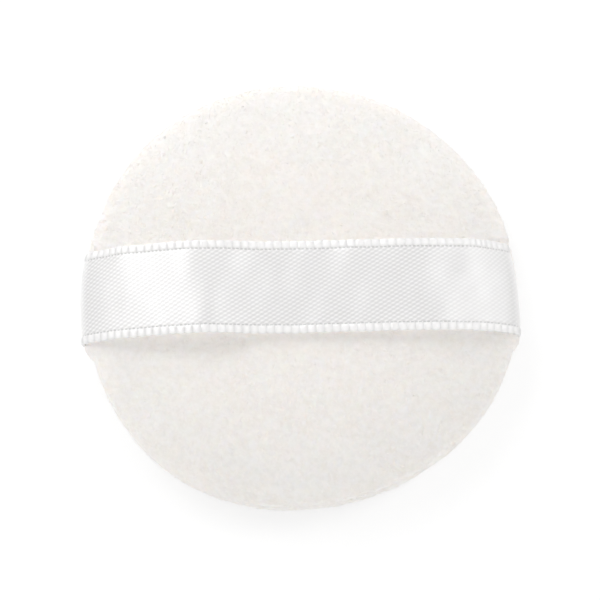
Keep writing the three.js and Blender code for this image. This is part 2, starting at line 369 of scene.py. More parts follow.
def apply(piece, modifier):
    """Makes a modifier's shape the piece's own"""
    pick(piece)
    bpy.ops.object.modifier_apply(modifier=modifier.name)


def turn_faces_out():
    """Turns the active piece's faces outwards"""
    mode("EDIT")
    bpy.ops.mesh.select_all(action="SELECT")
    bpy.ops.mesh.normals_make_consistent(inside=False)
    mode("OBJECT")


def push_out(piece, name, size, kind, height, middle, group=""):
    """Pushes the piece's points in and out by a texture with lumps of that size"""
    texture = bpy.data.textures.new(name, "CLOUDS")
    texture.noise_scale = size
    texture.noise_depth = 1
    texture.noise_basis = kind
    push = piece.modifiers.new(name, "DISPLACE")
    push.texture = texture
    push.texture_coords = "LOCAL"
    push.vertex_group = group
    push.strength = height
    push.mid_level = middle
    apply(piece, push)


def smooth(value, low, high):
    """0 below low, 1 above high, and an even turn between"""
    share = np.clip((value - low) / (high - low), 0, 1)
    return share * share * (3 - 2 * share)


def run_along(x, z):
    """Length along a line up to each of its points"""
    return np.concatenate([[0], np.cumsum(np.hypot(np.diff(x), np.diff(z)))])


def outward(x, z, *along):
    """Directions square to a line, away from the pad"""
    slope_x = np.gradient(x, *along)
    slope_z = np.gradient(z, *along)
    size = np.hypot(slope_x, slope_z)
    return -slope_z / size, slope_x / size


def new_material(name):
    """A material with one shader, its node tree and that shader"""
    material = bpy.data.materials.new(name)
    material.use_nodes = True
    tree = material.node_tree
    tree.nodes.clear()
    shader = tree.nodes.new("ShaderNodeBsdfPrincipled")
    output = tree.nodes.new("ShaderNodeOutputMaterial")
    tree.links.new(shader.outputs["BSDF"], output.inputs["Surface"])
    return material, tree, shader


def feed(tree, node, sockets):
    """Sets or links a node's sockets"""
    for name, value in sockets.items():
        if isinstance(value, bpy.types.NodeSocket):
            tree.links.new(value, node.inputs[name])
        else:
            node.inputs[name].default_value = value


def add(tree, kind, sockets=None, **settings):
    """A node with its settings, and its sockets set or linked"""
    node = tree.nodes.new(kind)
    for name, value in settings.items():
        setattr(node, name, value)
    feed(tree, node, sockets or {})
    return node


def own_place(tree):
    """Places in the piece's own frame"""
    return add(tree, "ShaderNodeTexCoord").outputs["Object"]


def along_line(tree, place, line):
    """How far places lie along a line, in its own length"""
    sockets = {0: place, 1: line}
    return add(tree, "ShaderNodeVectorMath", sockets, operation="DOT_PRODUCT").outputs["Value"]


def maths(tree, operation, first, second=0.0):
    """A sum of two numbers or sockets"""
    return add(tree, "ShaderNodeMath", {0: first, 1: second}, operation=operation).outputs[0]


def tint(tree, share, low, high):
    """A colour between two, by a socket from 0 to 1"""
    sockets = {0: share, 6: (*low, 1.0), 7: (*high, 1.0)}
    return add(tree, "ShaderNodeMix", sockets, data_type="RGBA").outputs[2]


def blend(tree, share, low, high):
    """A number between two, by a socket from 0 to 1"""
    return add(tree, "ShaderNodeMix", {0: share, 2: low, 3: high}, data_type="FLOAT").outputs[0]


def noise(tree, coordinates, size, detail=2.0, roughness=0.5):
    """A noise with lumps of that size, from 0 to 1"""
    sockets = {"Vector": coordinates, "Scale": 1 / size, "Detail": detail, "Roughness": roughness}
    return add(tree, "ShaderNodeTexNoise", sockets).outputs["Fac"]


def spread(tree, value, low, high):
    """Stretches low to high over 0 to 1"""
    sockets = {"Value": value, "From Min": low, "From Max": high}
    return add(tree, "ShaderNodeMapRange", sockets).outputs["Result"]


def bump(tree, shader, height, depth, strength=1.0):
    """Presses a height into the shader's normal"""
    node = add(tree, "ShaderNodeBump", {"Height": height, "Distance": depth, "Strength": strength})
    tree.links.new(node.outputs["Normal"], shader.inputs["Normal"])


# Materials


def plush_material(colours, pile):
    """Matt cream pile in clumps, with the soft light of its fibre tips"""
    material, tree, shader = new_material("plush_pile")
    place = own_place(tree)
    clumps = spread(tree, noise(tree, place, pile.clump * 0.8, 3, 0.6), 0.32, 0.62)
    drifts = spread(tree, noise(tree, place, pile.drift * 1.6), 0.2, 0.75)
    share = maths(tree, "ADD", maths(tree, "MULTIPLY", clumps, 0.7), maths(tree, "MULTIPLY", drifts, 0.3))
    feed(tree, shader, {
        "Base Color": tint(tree, share, colours.plush_deep, colours.plush),
        "Roughness": spread(tree, clumps, -4.0, 1.0),
        "Specular IOR Level": 0.12,
        "Sheen Weight": 0.25,
        "Sheen Roughness": 0.45,
        "Subsurface Weight": 0.5,
        "Subsurface Radius": (1.0, 0.8, 0.6),
        "Subsurface Scale": 0.0014,
    })
    bump(tree, shader, noise(tree, place, pile.nap * 0.5, 3, 0.6), 0.00006, 0.7)
    return material


def fibre_material(colours):
    """Loose fibres of the pile, each a little lighter or deeper than the next"""
    material, tree, shader = new_material("plush_fibre")
    share = spread(tree, noise(tree, own_place(tree), 0.0005, 2), 0.25, 0.6)
    feed(tree, shader, {
        "Base Color": tint(tree, share, colours.plush_deep, colours.plush),
        "Roughness": spread(tree, share, -4.0, 1.2),
        "Specular IOR Level": 0.2,
        "Sheen Weight": 0.2,
        "Sheen Roughness": 0.4,
    })
    return material


def backing_material(colours):
    """The plush's knitted back, seen only with the seam open"""
    material, tree, shader = new_material("plush_backing")
    knit = spread(tree, noise(tree, own_place(tree), 0.0006, 2), 0.3, 0.7)
    feed(tree, shader, {
        "Base Color": tint(tree, knit, colours.foam_pore, colours.backing),
        "Roughness": 0.95,
    })
    bump(tree, shader, knit, 0.0001, 0.6)
    return material


def float_ridges(tree, flat, along, across):
    """One set of the satin's slanting lines, from 0 to 1"""
    turns = along_line(tree, flat, (along, across, 0))
    return spread(tree, maths(tree, "SINE", maths(tree, "MULTIPLY", turns, FULL_TURN)), -1, 1)


def satin_material(colours, ribbon):
    """Satin whose floats and greyer ground are painted light and shade of the weave, with white beads
    along its selvages, painted shade between the beads and in the groove inside them, and painted
    highlight toward its right end and on its turned-in ends
    """
    material, tree, shader = new_material("satin_ribbon")
    flat = add(tree, "ShaderNodeUVMap", uv_map="weave").outputs["UV"]
    place = add(tree, "ShaderNodeSeparateXYZ", {0: flat}).outputs
    steep, shallow = satin_lines(ribbon)
    first = float_ridges(tree, flat, *steep)
    second = maths(tree, "MULTIPLY", float_ridges(tree, flat, *shallow), SECOND_SLANT)
    # Painted light and shade of the weave: the floats are lighter and the ground between them darker
    floats = spread(tree, maths(tree, "ADD", first, second), 0.45, 1.5)
    # Painted highlight: toward the right end the weave and beads are flattened to an even tone and the
    # groove line is left out
    painted_right_highlight = maths(tree, "MULTIPLY", spread(tree, place["X"], *RIGHT_HIGHLIGHT_SPAN), RIGHT_HIGHLIGHT_SHARE)
    # Painted light: where the ends turn in, the weave is lifted almost to the floats' light tone and the
    # groove line is left out
    turned = spread(tree, maths(tree, "ABSOLUTE", place["X"]), *WEAVE_TURNS_IN)
    floats = blend(tree, painted_right_highlight, floats, HIGHLIGHT_FLOATS)
    floats = blend(tree, turned, floats, TURNED_END_LIGHT)
    edge = maths(tree, "ABSOLUTE", place["Y"])
    inner = ribbon.width / 2 - ribbon.selvage
    on_satin = spread(tree, edge, inner + SELVAGE_SOFT, inner - SELVAGE_SOFT)
    # Painted shade in the gaps between the selvage's beads and painted light on their tops
    turns = maths(tree, "MULTIPLY", along_line(tree, flat, (0.5 / ribbon.bead, 0, 0)), FULL_TURN)
    painted_bead_shade = maths(tree, "ABSOLUTE", maths(tree, "SINE", turns))
    beads = blend(tree, painted_right_highlight, spread(tree, painted_bead_shade, -0.7, 1.3), HIGHLIGHT_BEADS)
    cloth = blend(tree, on_satin, beads, blend(tree, floats, GROUND_SHADE, 1.0))
    # Painted shade of the groove inside the selvage, as a dashed darker line
    off_line = maths(tree, "ABSOLUTE", maths(tree, "SUBTRACT", edge, inner - GROOVE_SHADE_INSIDE))
    dash = spread(tree, float_ridges(tree, flat, 1 / ribbon.weft, 0), 0.2, 0.5)
    clear = maths(tree, "SUBTRACT", 1.0, maths(tree, "MAXIMUM", painted_right_highlight, turned))
    dash = maths(tree, "MULTIPLY", dash, clear)
    line = maths(tree, "MULTIPLY", spread(tree, off_line, GROOVE_SHADE_WIDTH, GROOVE_SHADE_CORE), dash)
    share = maths(tree, "SUBTRACT", cloth, line)
    grain = add(tree, "ShaderNodeTangent", direction_type="UV_MAP", uv_map="weave")
    feed(tree, shader, {
        "Base Color": tint(tree, share, colours.satin_painted_shade, colours.satin),
        "Roughness": spread(tree, noise(tree, flat, 0.002), -1.0, 2.8),
        "Specular IOR Level": 0.78,
        "IOR": 1.9,
        "Subsurface Weight": 0.8,
        "Subsurface Radius": (1.0, 1.0, 0.95),
        "Subsurface Scale": 0.0006,
        "Anisotropic": 0.5,
        "Anisotropic Rotation": 0.25,
        "Tangent": grain.outputs["Tangent"],
    })
    bump(tree, shader, float_ridges(tree, flat, 0, 1 / ribbon.warp), 0.00001, 0.25)
    return material


def foam_material(colours):
    """Open-celled sponge foam"""
    material, tree, shader = new_material("sponge_foam")
    sockets = {"Vector": own_place(tree), "Scale": 1 / 0.0008}
    cells = add(tree, "ShaderNodeTexVoronoi", sockets).outputs["Distance"]
    share = spread(tree, cells, 0.1, 0.6)
    feed(tree, shader, {
        "Base Color": tint(tree, share, colours.foam_pore, colours.foam),
        "Roughness": 0.9,
    })
    bump(tree, shader, cells, 0.0002, 0.8)
    return material


def thread_material(colours):
    """Twisted sewing thread"""
    material, tree, shader = new_material("sewing_thread")
    sockets = {"Vector": own_place(tree), "Scale": 900, "Distortion": 1.5, "Detail": 1.0}
    plies = add(tree, "ShaderNodeTexWave", sockets, bands_direction="DIAGONAL").outputs["Fac"]
    feed(tree, shader, {
        "Base Color": tint(tree, plies, colours.thread_deep, colours.thread),
        "Roughness": 0.6,
        "Sheen Weight": 0.2,
    })
    bump(tree, shader, plies, 0.00005, 0.8)
    return material


# Shapes of the covers


def crown_line(covers, rise, drawn_in=0.0, samples=400):
    """The crown from its middle to its shoulder: share of its length, radius and height over the seam"""
    lean = np.linspace(0, QUARTER_TURN, samples)
    radius = (covers.radius - drawn_in) * np.sin(lean) ** (2 / covers.fullness)
    height = covers.roll + (rise - drawn_in - covers.roll) * np.cos(lean) ** (2 / covers.roundness)
    run = run_along(radius, height)
    return run / run[-1], radius, height


def hem_line(covers):
    """Radius and height of each row from the shoulder round the roll and in along the turned edge"""
    inner = covers.radius - covers.allowance
    crease = covers.radius - covers.crease
    half_gap = covers.seam_gap / 2
    touch = half_gap / 2
    lip = 0.0004
    rows = []
    for turn in np.linspace(0, QUARTER_TURN, ROLL_ROWS + 1)[1:]:
        radius = crease + (covers.radius - crease) * math.cos(turn)
        rows.append((radius, covers.roll - (covers.roll - touch) * math.sin(turn)))
    rows.append((crease - lip, half_gap))
    for share in np.linspace(0, 1, TURNED_ROWS + 1)[1:]:
        rows.append((crease + (inner - crease) * share, half_gap))
    rows.append((inner, half_gap + covers.allowance_cloth))
    rows.append((covers.radius - covers.cloth, half_gap + covers.allowance_cloth))
    return rows


def square_rings(cells):
    """Share of the radius and turn of each point of a square net drawn out to a disc"""
    line = np.linspace(-1, 1, cells + 1)
    across, along = np.meshgrid(line, line)
    share = np.maximum(abs(across), abs(along))
    wide = abs(across) >= abs(along)
    longer = np.where(wide, across, along)
    shorter = np.where(wide, along, across)
    ratio = np.divide(shorter, longer, out=np.zeros_like(longer), where=longer != 0)
    eighth = ratio * QUARTER_TURN / 2
    turn = np.where(wide, eighth, QUARTER_TURN - eighth) + np.where(longer < 0, math.pi, 0)
    return share.ravel(), turn.ravel()


def quads(*corners):
    """Four-cornered faces from four grids of points"""
    return np.stack(corners, axis=-1).reshape(-1, 4).tolist()


def hand_cut(covers, turn):
    """How far the outline strays from a circle at each turn"""
    stray = CUT_SHIFT * np.sin(turn)
    for waves, share, phase in CUT_WAVES:
        stray = stray + share * np.cos(waves * turn + phase)
    return covers.wobble * stray


def shell(name, cells, top, rows, bottom, stray):
    """A closed soft form: a crowned net, rows round its edge, and a net inside or below"""
    share, turn = square_rings(cells)
    net = np.arange(len(share)).reshape(cells + 1, cells + 1)
    rim = np.concatenate([net[0, :-1], net[:-1, -1], net[-1, :0:-1], net[:0:-1, 0]])
    rim_turn = turn[rim]
    nets = []
    for places, radii, heights in (top, bottom):
        radius = np.interp(share, places, radii) + stray(turn) * share**2
        height = np.interp(share, places, heights)
        nets.append(np.column_stack([radius * np.cos(turn), radius * np.sin(turn), height]))
    layers = [nets[0]]
    rings = [rim]
    start = len(share)
    for radius, height in rows:
        wide = radius + stray(rim_turn)
        flat = np.full(len(rim), height)
        layers.append(np.column_stack([wide * np.cos(rim_turn), wide * np.sin(rim_turn), flat]))
        rings.append(np.arange(start, start + len(rim)))
        start += len(rim)
    layers.append(nets[1])
    rings.append(rim + start)
    faces = quads(net[:-1, :-1], net[:-1, 1:], net[1:, 1:], net[1:, :-1])
    net = net + start
    faces += quads(net[1:, :-1], net[1:, 1:], net[:-1, 1:], net[:-1, :-1])
    for upper, lower in zip(rings, rings[1:]):
        faces += quads(lower, np.roll(lower, -1), np.roll(upper, -1), upper)
    return new_piece(name, np.concatenate(layers), faces)


def swell(piece, free, covers):
    """Blows the free points out with cloth and stuffing pressure, up to the cap"""
    rest = points_of(piece)
    put_points(piece, rest * SWELL_SCALE)
    held = piece.vertex_groups.new(name="held")
    held.add(np.flatnonzero(~free).tolist(), 1.0, "REPLACE")
    cloth = piece.modifiers.new("swelling", "CLOTH")
    for name, value in SWELL_CLOTH.items():
        setattr(cloth.settings, name, value)
    cloth.settings.use_pressure = True
    cloth.settings.uniform_pressure_force = covers.swell_pressure
    cloth.settings.vertex_group_mass = held.name
    cloth.settings.effector_weights.gravity = 0
    cloth.collision_settings.use_collision = False
    cloth.collision_settings.use_self_collision = False
    scene = bpy.context.scene
    for moment in range(1, SWELL_FRAMES + 1):
        scene.frame_set(moment)
    apply(piece, cloth)
    scene.frame_set(1)
    moved = points_of(piece) / SWELL_SCALE - rest
    far = np.linalg.norm(moved, axis=1, keepdims=True)
    share = np.minimum(1, covers.swell_cap / np.maximum(far, 1e-9))
    put_points(piece, rest + moved * share)
    piece.vertex_groups.remove(piece.vertex_groups["held"])


def raise_pile(piece, pile):
    """Cuts the outer cloth fine and pushes it into drifts, clumps and nap"""
    pick(piece)
    piece.vertex_groups.new(name="pile")
    mode("EDIT")
    bpy.ops.mesh.select_mode(type="FACE")
    bpy.ops.mesh.select_all(action="DESELECT")
    bpy.ops.object.material_slot_select()
    bpy.ops.mesh.subdivide(number_cuts=PILE_CUTS, smoothness=1)
    bpy.ops.mesh.select_all(action="DESELECT")
    bpy.ops.object.material_slot_select()
    bpy.ops.object.vertex_group_assign()
    mode("OBJECT")
    height = points_of(piece)[:, 2]
    for below, share in LIP_PILE:
        low = np.flatnonzero(height < below)
        piece.vertex_groups["pile"].add(low.tolist(), share, "REPLACE")
    push_out(piece, "pile_drift", pile.drift, "IMPROVED_PERLIN", pile.drift_height, 0.5, "pile")
    push_out(piece, "pile_clump", pile.clump, "VORONOI_F1", pile.clump_height, 0.5, "pile")
    push_out(piece, "pile_nap", pile.nap, "IMPROVED_PERLIN", pile.nap_height, 0.5, "pile")
    piece.vertex_groups.remove(piece.vertex_groups["pile"])
    pick(piece)
    bpy.ops.object.shade_smooth()


def ribbon_middle(ribbon, covers, x):
    """The ribbon's middle line, as places along y for places along x"""
    return ribbon.bow * (x / covers.radius) ** 2


def end_slant(ribbon, x, off):
    """How far the ribbon's right end is drawn in, by the distance from its middle line"""
    far = smooth(off, -ribbon.width * 0.48, ribbon.width * 0.38)
    return np.where(x > 0, ribbon.slant * far, 0)


def rim_follow(off):
    """How closely the ribbon's end follows the round rim, by the distance from its middle line"""
    return FOLLOW_LEAST + (1 - FOLLOW_LEAST) * smooth(off, *FOLLOW_GROWS)


def rim_sag(covers, y):
    """How far the round rim falls back at places along y"""
    return covers.radius - np.sqrt(np.maximum(covers.radius**2 - y**2, 0))


def rim_share(covers, x):
    """0 on the crown and 1 at the rim"""
    return smooth(abs(x), covers.radius - RIM_NEAR, covers.radius - RIM_FULL)


def open_for_ribbon(points, ribbon, covers):
    """Lifts the turned edge clear of the ribbon's tails"""
    clear = ribbon.thickness / 2 + ribbon.tail_clear
    off = points[:, 1] - ribbon_middle(ribbon, covers, points[:, 0])
    far = covers.radius - covers.allowance - ROOM_BEHIND
    at_tail = (abs(off) < ribbon.width / 2 + ROOM_BESIDE) & (abs(points[:, 0]) > far)
    points[at_tail, 2] = np.maximum(points[at_tail, 2], clear)


def press_rim(piece, covers, ribbon):
    """Presses the pile in under the ribbon's sewn ends"""
    points = points_of(piece)
    normals = np.empty(len(points) * 3, np.float32)
    piece.data.vertex_normals.foreach_get("vector", normals)
    outside = np.zeros(len(points), bool)
    for face in piece.data.polygons:
        if face.material_index == 0:
            outside[list(face.vertices)] = True
    x = points[:, 0]
    off = points[:, 1] - ribbon_middle(ribbon, covers, x)
    end = smooth(abs(x), covers.radius - ribbon.hug, covers.radius - PRESS_FULL)
    half = ribbon.width / 2
    under = 1 - smooth(abs(off), half - PRESS_INSIDE, half + PRESS_BESIDE)
    drawn = end_slant(ribbon, x, off) * rim_share(covers, x)
    depth = ((ribbon.press + PRESS_DEEPER) * end + drawn) * under * outside
    put_points(piece, points - normals.reshape(-1, 3) * depth[:, None])


def fill_rim(piece, covers, ribbon):
    """Draws the rim out to the ribbon's front corners, where the tails thicken the seam"""
    points = points_of(piece)
    x, y = points[:, 0], points[:, 1]
    off = y - ribbon_middle(ribbon, covers, x)
    near = smooth(off, -ribbon.width / 2 - FILL_BESIDE, -ribbon.width / 2)
    short = np.maximum(-hand_cut(covers, np.arctan2(y, x)), 0)
    out = ((1 - rim_follow(off)) * rim_sag(covers, y) + short) * rim_share(covers, x) * near
    points[:, 0] = x + np.sign(x) * out
    put_points(piece, points)


def press_foot(height, rest, give=0.0003):
    """Heights of the pile, pressed softly flat where the puff stands"""
    return np.where(height < rest + give, rest + give * np.exp((height - rest - give) / give), height)


def sew_cover(name, side, covers, pile, ribbon, materials):
    """One cover: shell, swelling and pile, on its side of the seam"""
    cells = NET_CELLS
    top = crown_line(covers, covers.crown_rise - covers.swell_cap * SWELL_ROOM)
    bottom = crown_line(covers, covers.crown_rise, covers.cloth)
    piece = shell(name, cells, top, hem_line(covers), bottom, lambda turn: hand_cut(covers, turn))
    points = points_of(piece)
    open_for_ribbon(points, ribbon, covers)
    put_points(piece, points)
    for material in materials:
        piece.data.materials.append(material)
    net = (cells + 1) ** 2
    piled = np.zeros(len(points), bool)
    piled[: net + (ROLL_ROWS + 1) * 4 * cells] = True
    inside = [not all(piled[list(face.vertices)]) for face in piece.data.polygons]
    piece.data.polygons.foreach_set("material_index", np.array(inside, np.int32))
    free = np.zeros(len(points), bool)
    free[:net] = square_rings(cells)[0] < SWELL_FREE
    swell(piece, free, covers)
    piece.active_material_index = 0
    raise_pile(piece, pile)
    if side > 0:
        press_rim(piece, covers, ribbon)
    fill_rim(piece, covers, ribbon)
    points = points_of(piece)
    points[:, 2] = SEAM + side * points[:, 2]
    points[:, 2] = press_foot(points[:, 2], FACE_LOW.z + pile.foot)
    put_points(piece, points)
    turn_faces_out()
    return piece


def face_values(cover, name, kind, width):
    """A value of each of the cover's faces, as rows"""
    values = np.empty(len(cover.data.polygons) * width, kind)
    cover.data.polygons.foreach_get(name, values)
    return values.reshape(-1, width)


def pile_spots(cover, amount, chance):
    """Places on the cover's pile with their normals, spread evenly over its area"""
    area = face_values(cover, "area", np.float32, 1)
    slot = face_values(cover, "material_index", np.int32, 1)
    centre = face_values(cover, "center", np.float32, 3)
    normal = face_values(cover, "normal", np.float32, 3)
    weight = np.where(slot == 0, area, 0).astype(float).ravel()
    chosen = chance.choice(len(weight), amount, p=weight / weight.sum())
    jitter = (chance.random((amount, 3)) - 0.5) * np.sqrt(area[chosen])
    return centre[chosen] + jitter, normal[chosen]


def plant_fibres(name, cover, pile, ribbon, covers, material, seed):
    """Loose fibre tips standing out of the pile, one small closed spike each"""
    chance = np.random.default_rng(seed)
    roots, normals = pile_spots(cover, pile.fibres, chance)
    off = roots[:, 1] - ribbon_middle(ribbon, covers, roots[:, 0])
    under = (abs(off) < ribbon.width / 2) & (roots[:, 2] > SEAM)
    keep = ~under & (abs(roots[:, 2] - SEAM) > FIBRE_CLEAR)
    roots, normals = roots[keep], normals[keep]
    amount = len(roots)
    sway = chance.normal(size=(amount, 3)) * math.tan(pile.fibre_lean) / SWAY_TAMED
    sway -= normals * np.sum(sway * normals, axis=1, keepdims=True)
    aim = normals + sway
    aim /= np.linalg.norm(aim, axis=1, keepdims=True)
    short = SEAM_LEAST + (1 - SEAM_LEAST) * smooth(abs(roots[:, 2] - SEAM), *SEAM_ENDS)
    tall = pile.fibre * short * (FIBRE_LEAST + (1 - FIBRE_LEAST) * chance.random(amount))
    side = np.cross(aim, chance.normal(size=(amount, 3)))
    side /= np.linalg.norm(side, axis=1, keepdims=True)
    other = np.cross(aim, side)
    foot = roots - aim * FIBRE_ROOT
    spikes = np.empty((amount, 4, 3))
    for corner in range(3):
        turn = FULL_TURN * corner / 3
        reach = (side * math.cos(turn) + other * math.sin(turn)) * pile.fibre_width / 2
        spikes[:, corner] = foot + reach
    spikes[:, 3] = roots + aim * tall[:, None]
    spikes[:, :, 2] = np.maximum(spikes[:, :, 2], FACE_LOW.z + FIBRE_FLOOR)
    first = np.arange(amount)[:, None] * 4
    corners = np.array([[0, 2, 1], [0, 1, 3], [1, 2, 3], [2, 0, 3]])
    faces = (first[:, None] + corners[None]).reshape(-1, 3)
    piece = new_piece(name, spikes.reshape(-1, 3), faces.tolist())
    piece.data.materials.append(material)
    return piece


# Shape of the ribbon


def satin_lines(ribbon):
    """Lines for each metre along and across of the two slants of a five-end satin"""
    pitch = (1 / ribbon.weft, 1 / ribbon.warp)
    return [(slant[0] * pitch[0], slant[1] * pitch[1]) for slant in (STEEP_SLANT, SHALLOW_SLANT)]


def ribbon_wave(ribbon, place):
    """Rise of the ribbon's two waves at places along x"""
    left = place + ribbon.left_crest
    left_reach = np.where(left > 0, ribbon.left_reach, ribbon.end_reach)
    right = place - ribbon.right_crest
    right_reach = np.where(right < 0, ribbon.right_reach, ribbon.end_reach)
    rise = ribbon.left_wave * np.exp(-((left / left_reach) ** 2))
    return rise + ribbon.right_wave * np.exp(-((right / right_reach) ** 2))


def ribbon_line(ribbon, covers, samples=1600):
    """The ribbon's middle layer from one tail to the other: places along x and height over the seam"""
    share, radius, height = crown_line(covers, covers.crown_rise, samples=samples)
    even = np.linspace(0, 1, samples)
    radius = np.interp(even, share, radius)
    height = np.interp(even, share, height)
    crease = covers.radius - covers.crease
    lip = ribbon.seat - ribbon.press
    turn = np.linspace(0, QUARTER_TURN, 80)[1:]
    radius = np.concatenate([radius, crease + (covers.radius - crease) * np.cos(turn)])
    height = np.concatenate([height, covers.roll - (covers.roll - lip) * np.sin(turn)])
    out_x, out_z = outward(radius, height)
    hang = 1 - smooth(radius, covers.radius - ribbon.hug, covers.radius)
    halves = []
    for side in (-1, 1):
        slack = ribbon.standoff + ribbon_wave(ribbon, side * radius)
        lift = ribbon.seat - ribbon.press * (1 - hang) + hang * slack
        x = radius + out_x * lift
        z = height + out_z * lift
        tail = np.linspace(x[-1], x[-1] - ribbon.tail, 40)[1:]
        halves.append((np.concatenate([x, tail]), np.concatenate([z, np.full(len(tail), z[-1])])))
    (left_x, left_z), (right_x, right_z) = halves
    x = np.concatenate([-left_x[::-1], right_x[1:]])
    z = np.concatenate([left_z[::-1], right_z[1:]])
    return x, z


def bead_swell(ribbon, along):
    """0 between two beads of the selvage and 1 on top of each"""
    return abs(np.sin(math.pi * along / ribbon.bead)) ** BEAD_POWER


def weave_relief(ribbon, along, across):
    """Height of the weave, the groove and the beaded selvage over the plain ribbon"""
    steep, shallow = satin_lines(ribbon)
    ridges = np.sin(FULL_TURN * (steep[0] * along + steep[1] * across))
    ridges = ridges + SECOND_SLANT * np.sin(FULL_TURN * (shallow[0] * along + shallow[1] * across))
    edge = ribbon.width / 2 - abs(across)
    on_satin = smooth(edge, ribbon.selvage, ribbon.selvage + 0.0002)
    relief = ribbon.weave_height * ridges * on_satin
    dash = 0.6 + 0.4 * np.cos(FULL_TURN * along / ribbon.weft)
    line = np.exp(-(((edge - ribbon.selvage - 0.00005) / 0.00011) ** 2))
    relief = relief - ribbon.groove * dash * line
    middle = ribbon.selvage / 2
    round_over = np.sqrt(np.clip(1 - ((edge - middle) / middle) ** 2, 0, 1))
    return relief + ribbon.bead_height * round_over * bead_swell(ribbon, along)


def edge_scallop(ribbon, along, across):
    """How far the beads push the ribbon's edge out"""
    edge = ribbon.width / 2 - abs(across)
    share = 1 - smooth(edge, 0, ribbon.selvage * 0.6)
    return np.sign(across) * share * BEAD_PUSH * (bead_swell(ribbon, along) - BEAD_REST)


def ribbon_ripple(ribbon, along, across):
    """Slight unevenness of the ribbon between its sewn ends"""
    waves = 0
    for pitch, slant, phase, share in RIPPLES:
        waves = waves + share * np.sin(FULL_TURN * (along / pitch + across / slant) + phase)
    return ribbon.ripple * (1 - smooth(abs(along), *RIPPLES_END)) * waves


def weave_ribbon(name, ribbon, covers, material):
    """The ribbon as one thin closed cloth, its weave and beads raised on the upper side"""
    x, z = ribbon_line(ribbon, covers)
    run = run_along(x, z)
    cut = run[-1]
    free = ribbon.tail
    along = np.concatenate([
        np.linspace(0, free, TAIL_ROWS)[:-1],
        np.arange(free, cut - free, WEAVE_STEP),
        np.linspace(cut - free, cut, TAIL_ROWS),
    ])
    across = np.linspace(-ribbon.width / 2, ribbon.width / 2, WEAVE_COLUMNS)
    line_x = np.interp(along, run, x)
    line_z = np.interp(along, run, z)
    out_x, out_z = outward(line_x, line_z, along)
    u, v = np.meshgrid(along - cut / 2, across, indexing="ij")
    shown = smooth(along, free, free + 0.001) * smooth(cut - along, free, free + 0.001)
    shown = shown[:, None]
    relief = weave_relief(ribbon, u, v) * shown
    droop = ribbon.cup * (v / (ribbon.width / 2)) ** 2 * shown - ribbon_ripple(ribbon, u, v)
    wide = v + edge_scallop(ribbon, u, v) * shown

    def laid(lift, columns):
        """Points of one side of the cloth at a lift from its middle layer"""
        place_x = line_x[:, None] + out_x[:, None] * lift
        place_z = line_z[:, None] + out_z[:, None] * lift
        off = wide[:, columns]
        place_y = off + ribbon_middle(ribbon, covers, place_x)
        drawn = rim_follow(off) * rim_sag(covers, place_y) + end_slant(ribbon, place_x, off)
        place_x = place_x - np.sign(place_x) * rim_share(covers, place_x) * drawn
        return np.stack([place_x, place_y, SEAM + place_z], axis=-1)

    under = np.arange(0, len(across), STRIP_COLUMNS)
    upper_points = laid(ribbon.thickness / 2 + relief - droop, np.arange(len(across)))
    lower_points = laid(-ribbon.thickness / 2 - droop[:, under], under)
    points = np.concatenate([upper_points.reshape(-1, 3), lower_points.reshape(-1, 3)])
    rows, columns, strips = len(along), len(across), len(under)
    upper = np.arange(rows * columns).reshape(rows, columns)
    lower = rows * columns + np.arange(rows * strips).reshape(rows, strips)
    faces = quads(upper[:-1, :-1], upper[1:, :-1], upper[1:, 1:], upper[:-1, 1:])
    faces += quads(lower[:-1, 1:], lower[1:, 1:], lower[1:, :-1], lower[:-1, :-1])
    faces += quads(upper[:-1, 0], lower[:-1, 0], lower[1:, 0], upper[1:, 0])
    faces += quads(upper[1:, -1], lower[1:, -1], lower[:-1, -1], upper[:-1, -1])
    faces.append(upper[0].tolist() + lower[0][::-1].tolist())
    faces.append(upper[-1][::-1].tolist() + lower[-1].tolist())
    piece = new_piece(name, points, faces)
    flat = np.concatenate([
        np.stack([u, v], axis=-1).reshape(-1, 2),
        np.stack([u[:, under], v[:, under]], axis=-1).reshape(-1, 2),
    ])
    corners = np.empty(len(piece.data.loops), np.int32)
    piece.data.loops.foreach_get("vertex_index", corners)
    weave = piece.data.uv_layers.new(name="weave")
    weave.data.foreach_set("uv", flat[corners].astype(np.float32).ravel())
    piece.data.materials.append(material)
    turn_faces_out()
    bpy.ops.object.shade_smooth_by_angle(angle=math.radians(50))
    return piece, float(cut)


# Operators, one for each piece or group of like pieces


class PUFF_OT_covers(bpy.types.Operator):
    """Sew the two plush covers, swell them and raise their pile"""

    bl_idname = "puff.covers"
    bl_label = "Plush covers"

    def execute(self, context):
        scene = context.scene
        covers, pile, ribbon = scene.puff_covers, scene.puff_pile, scene.puff_ribbon
        plush = plush_material(scene.puff_colours, pile)
        backing = backing_material(scene.puff_colours)
        loose = fibre_material(scene.puff_colours)
        for name, side, seed in (("back_plush", 1, SEED), ("face_plush", -1, SEED + 1)):
            deselect()
            cover = sew_cover(name, side, covers, pile, ribbon, (plush, backing))
            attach(cover, "pad")
            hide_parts("back_cover" if side > 0 else "face_cover")
            fibres = plant_fibres(name + "_fibres", cover, pile, ribbon, covers, loose, seed)
            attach(fibres, "pad")
        return {"FINISHED"}


